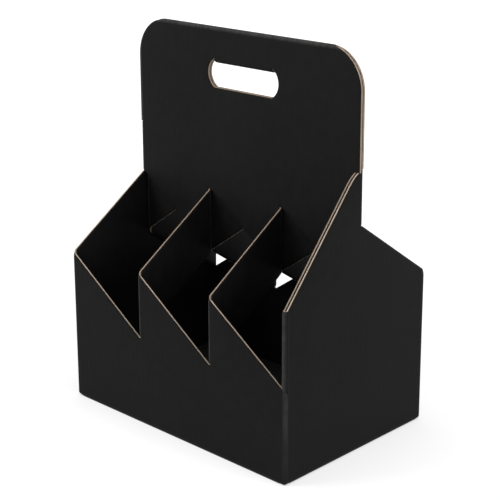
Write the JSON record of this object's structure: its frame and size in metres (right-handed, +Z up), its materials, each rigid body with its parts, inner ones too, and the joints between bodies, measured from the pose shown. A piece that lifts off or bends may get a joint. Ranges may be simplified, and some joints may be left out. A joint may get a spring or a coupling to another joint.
{
  "type": "wine bottle carrier",
  "caption": "Folded corrugated board carrier that holds bottles in two rows of cells, with a tall central handle panel and a hand slot.",
  "frame": {"origin": "centre of the base, on the plane that the carrier stands on", "axes": "+Z up, +X along the long walls to the right, -Y towards the front long wall"},
  "size_m": [0.2608, 0.1776, 0.3432],
  "materials": {
    "board": "black uncoated liner on both faces, plain brown board at the cut edges"
  },
  "bodies": {
    "root": {"carrier": "board"}
  },
  "joints": []
}
